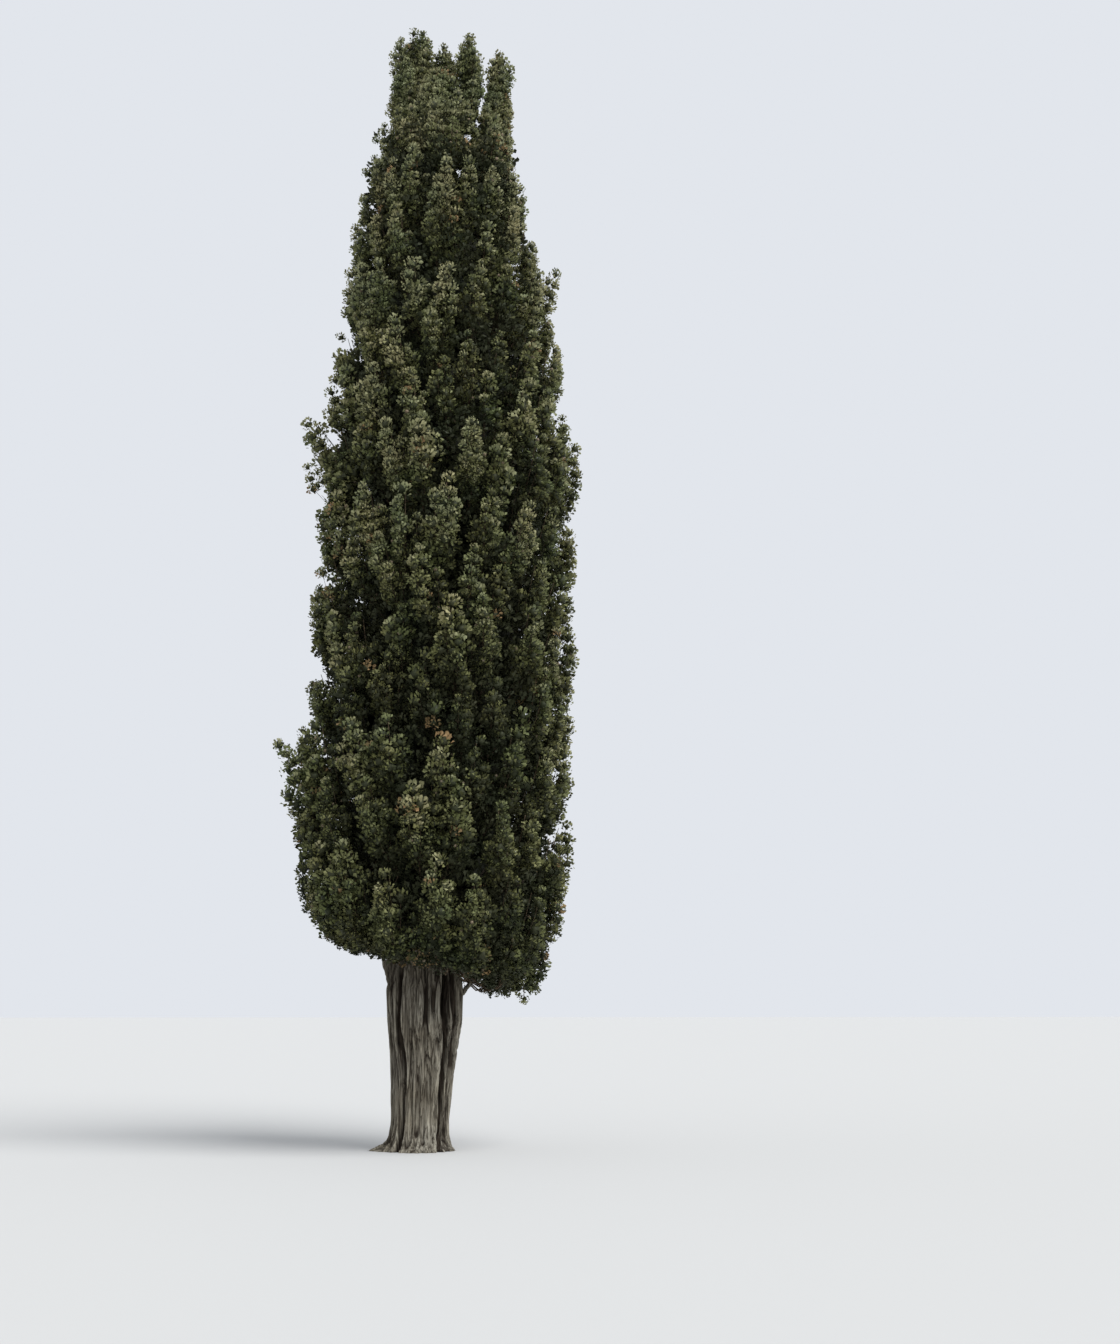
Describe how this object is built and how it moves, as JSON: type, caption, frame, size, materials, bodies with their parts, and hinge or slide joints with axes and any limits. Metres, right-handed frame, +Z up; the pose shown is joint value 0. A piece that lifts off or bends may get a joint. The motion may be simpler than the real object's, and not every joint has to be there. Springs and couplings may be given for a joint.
{
  "type": "pencil cypress tree",
  "caption": "Tall narrow evergreen tree with a fluted trunk, upright limbs and a dense column of overlapping foliage that parts into several tips; fixed at ground level.",
  "frame": {"origin": "centre of the trunk's flat cut at ground level", "axes": "+Z up along the trunk, -Y towards the viewer of the picture, +X to that viewer's right"},
  "size_m": [3.3481, 3.0729, 12.96],
  "materials": {
    "bark": "matte, fibrous and furrowed",
    "foliage": "matte, fine scale-leaved sprays"
  },
  "bodies": {
    "root": {"trunk": "bark", "leader_left": "bark", "leader_right": "bark", "leader_far_right": "bark", "leader_front": "bark", "leader_back": "bark", "bough_low_right": "bark", "bough_low_left": "bark", "foliage_1_1": "foliage", "foliage_1_2": "foliage", "foliage_1_3": "foliage", "foliage_1_4": "foliage", "foliage_1_5": "foliage", "foliage_1_6": "foliage", "foliage_2_1": "foliage", "foliage_2_2": "foliage", "foliage_2_3": "foliage", "foliage_2_4": "foliage", "foliage_2_5": "foliage", "foliage_2_6": "foliage", "foliage_3_1": "foliage", "foliage_3_2": "foliage", "foliage_3_3": "foliage", "foliage_3_4": "foliage", "foliage_3_5": "foliage", "foliage_3_6": "foliage", "foliage_4_1": "foliage", "foliage_4_2": "foliage", "foliage_4_3": "foliage", "foliage_4_4": "foliage", "foliage_4_5": "foliage", "foliage_4_6": "foliage", "foliage_5_1": "foliage", "foliage_5_2": "foliage", "foliage_5_3": "foliage", "foliage_5_4": "foliage", "foliage_5_5": "foliage", "foliage_5_6": "foliage", "foliage_6_1": "foliage", "foliage_6_2": "foliage", "foliage_6_3": "foliage", "foliage_6_4": "foliage", "foliage_6_5": "foliage", "foliage_6_6": "foliage", "foliage_7_2": "foliage", "foliage_7_3": "foliage", "foliage_7_4": "foliage", "foliage_7_5": "foliage", "foliage_7_6": "foliage", "top_middle": "foliage", "top_left": "foliage", "top_right": "foliage", "top_far_right": "foliage", "top_front": "foliage", "top_back": "foliage"}
  },
  "joints": []
}
